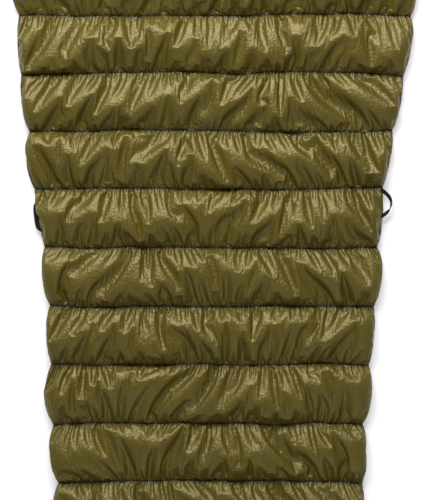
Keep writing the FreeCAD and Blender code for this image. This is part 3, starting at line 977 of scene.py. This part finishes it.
# Loop shapes: strap width, how far out the crown is, squareness, and tilts.
TWISTED = ((-1, 5), (-0.5, 25), (-0.2, 62), (0.1, 66), (0.3, 88), (0.6, 35), (1, 10))
TWISTED_LESS = ((-1, 0), (-0.5, 20), (-0.1, 75), (0.2, 60), (0.5, 30), (1, 0))
LYING = ((-1, 0), (-0.4, 8), (0.2, -6), (1, 0))
ARCHED = (11.5 * MM, 5 * MM, 2.2, TWISTED)
ARCHED_TOO = (11.5 * MM, 8 * MM, 2.4, TWISTED_LESS)
PRESSED_FLAT = (14 * MM, 0.5 * MM, 6.0, LYING)


def loop_axes(name):
    """A loop's place on its swing axis, the direction along the edge, and the way out."""
    swing = joint(f"{name}_swing")
    along = Vector(swing["axis"]).normalized()
    out = along.cross(Vector((0, 0, 1)))
    place = Vector(swing["pos_m"])
    if out.x * place.x < 0:
        out = -out
    return place, along, out


def edge_at(y, side):
    """X of the side edge at y."""
    i = max(k for k in range(BAFFLES) if SEAM_YS[k] >= y)
    t = (SEAM_YS[i] - y) / (SEAM_YS[i] - SEAM_YS[i + 1])
    return float(edge_x(i, np.array(t), side))


def make_loop(name, ends_node, shape):
    """A webbing loop in two halves, each sewn into the side seam at one end.

    shape gives the strap's width, how far out its crown is, how square its bends are, and its
    tilt in degrees at places from -1 (head end) to 1 (foot end): 0 lies flat, 90 stands on edge."""
    width, crown, squareness, tilts = shape
    place, along, out = loop_axes(name)
    side = 1 if place.x > 0 else -1
    s = np.linspace(-1, 1, 81)
    tilt = np.radians(np.interp(s, *zip(*tilts)))
    for _ in range(8):
        tilt[1:-1] = (tilt[2:] + tilt[:-2] + 2 * tilt[1:-1]) / 4
    roots = []
    for toward in (1, -1):
        root = place + along * toward * LOOP_HALF
        roots.append(side * (edge_at(root.y, side) - root.x) - SEWN_IN)
    root = np.where(s < 0, roots[0], roots[1])
    bend = np.abs(s) ** squareness
    offset = crown * (1 - bend) + root * bend
    path = (np.array(place) - s[:, None] * LOOP_HALF * np.array(along)
            + offset[:, None] * np.array(out))
    ahead = np.gradient(path, axis=0)
    ahead /= np.linalg.norm(ahead, axis=1, keepdims=True)
    up = np.array((0.0, 0.0, 1.0))
    flat = np.cross(up, ahead)
    across = np.cos(tilt)[:, None] * flat + np.sin(tilt)[:, None] * up
    middle = len(s) // 2
    halves = (("head", 1, slice(0, middle + 1)), ("foot", -1, slice(middle, len(s))))
    for label, toward, part in halves:
        strap = ribbon(path[part], across[part], width, STRAP_THICK)
        piece = make_object(f"{name}_{label}_half", *strap, WEBBING)
        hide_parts(name, ends_node)
        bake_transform(piece)


def make_tab(name, body):
    """A corner tab of webbing, sewn into the side seam and rounded at its tip."""
    low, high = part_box(name)
    side = 1 if low.x > 0 else -1
    inner, tip = (low.x, high.x) if side > 0 else (high.x, low.x)
    y, z = (low.y + high.y) / 2, (low.z + high.z) / 2
    length = abs(tip - inner) + TAB_SEWN
    count = 40
    s = np.linspace(0, 1, count)
    path = np.stack([tip - side * length * (1 - s), np.full(count, y), np.full(count, z)], -1)
    across = np.tile((0.0, 1.0, 0.0), (count, 1))
    corner = TAB_CORNER / length
    in_corner = np.clip((s - 1 + corner) / corner, 0, 1)
    width = TAB_WIDTH * (0.55 + 0.45 * np.sqrt(1 - in_corner ** 2))
    tab = make_object(f"{name}_webbing", *ribbon(path, across, width, TAB_THICK), WEBBING)
    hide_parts(name)
    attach(tab, body)


# ---- build ----
shells, liners = settle_all()
for index in range(BAFFLES):
    make_chamber(index, shells[index], liners[index])
    for edge_side in (-1, 1):
        make_edge_roll(index, edge_side)
for seam_index in range(1, BAFFLES):
    make_wall(seam_index)
    make_thread(seam_index)
for end_name, end_seam in (("head", 0), ("foot", BAFFLES)):
    make_hem(end_name, end_seam)
    make_cord(end_name)
    make_spring(end_name)
finish_hard_parts()
make_loop("hip_loop_right", "hip_loop_ends", ARCHED)
make_loop("hip_loop_left", "hip_loop_ends", PRESSED_FLAT)
make_loop("shoulder_loop_right", "shoulder_loop_ends", ARCHED_TOO)
make_loop("shoulder_loop_left", "shoulder_loop_ends", ARCHED)
for tab_name, tab_body in (("neck_tab_left", "head"), ("neck_tab_right", "head"),
                           ("foot_tab_left", "foot"), ("foot_tab_right", "foot")):
    make_tab(tab_name, tab_body)


# ---- floor, light and camera ----
def make_floor():
    """A pale, dull floor that glows a little, as a lit studio sweep does."""
    reach = 12.0
    corners = [(-reach, -reach, 0), (reach, -reach, 0), (reach, reach, 0), (-reach, reach, 0)]
    material, shader, where = new_material("studio_floor")
    speck = noise(material, where, 0.2)
    link(material, blend_colours(material, speck, (0.93, 0.93, 0.93), (0.95, 0.95, 0.95)),
         shader.inputs["Base Color"])
    shader.inputs["Roughness"].default_value = 0.9
    shader.inputs["Emission Color"].default_value = (1, 1, 1, 1)
    shader.inputs["Emission Strength"].default_value = 0.35
    floor = make_object("studio_floor", corners, [(0, 1, 2, 3)], material)


def soft_light(name, place, aim, size, power, colour=(1, 1, 1)):
    """A rectangular lamp, size metres wide and deep."""
    data = bpy.data.lights.new(name, "AREA")
    data.color = colour
    data.shape = "RECTANGLE"
    data.size, data.size_y = size
    data.energy = power
    lamp = bpy.data.objects.new(name, data)
    bpy.context.scene.collection.objects.link(lamp)
    lamp.location = place
    lamp.rotation_euler = (Vector(aim) - Vector(place)).to_track_quat("-Z", "Y").to_euler()


def make_world(strength, seen_strength):
    """An even white sky. The camera sees it at a brightness of its own."""
    world = bpy.data.worlds.new("studio")
    bpy.context.scene.world = world
    world.use_nodes = True
    background = world.node_tree.nodes["Background"]
    background.inputs["Color"].default_value = (1, 1, 1, 1)
    nodes, links = world.node_tree.nodes, world.node_tree.links
    seen = nodes.new("ShaderNodeLightPath").outputs["Is Camera Ray"]
    brightness = nodes.new("ShaderNodeMapRange")
    brightness.inputs["To Min"].default_value = strength
    brightness.inputs["To Max"].default_value = seen_strength
    links.new(seen, brightness.inputs["Value"])
    links.new(brightness.outputs["Result"], background.inputs["Strength"])


def make_camera():
    """Straight above the middle chambers, from far away, with the head end at the top."""
    distance, frame_height, sensor = 6.0, 1.481, 36.0
    data = bpy.data.cameras.new("camera")
    data.sensor_width = sensor
    data.lens = sensor * distance / frame_height
    camera = bpy.data.objects.new("camera", data)
    bpy.context.scene.collection.objects.link(camera)
    camera.location = (0.015, -0.092, distance)
    bpy.context.scene.camera = camera


make_floor()
make_world(0.25, 0.92)
soft_light("key", (-0.5, 3.0, 2.4), (0, 0, 0), (3.0, 1.6), 178, (0.98, 0.97, 1.12))
soft_light("fill", (0.4, -3.2, 2.6), (0, 0, 0), (3.0, 1.6), 22)
make_camera()
bpy.context.scene.view_settings.view_transform = "Standard"
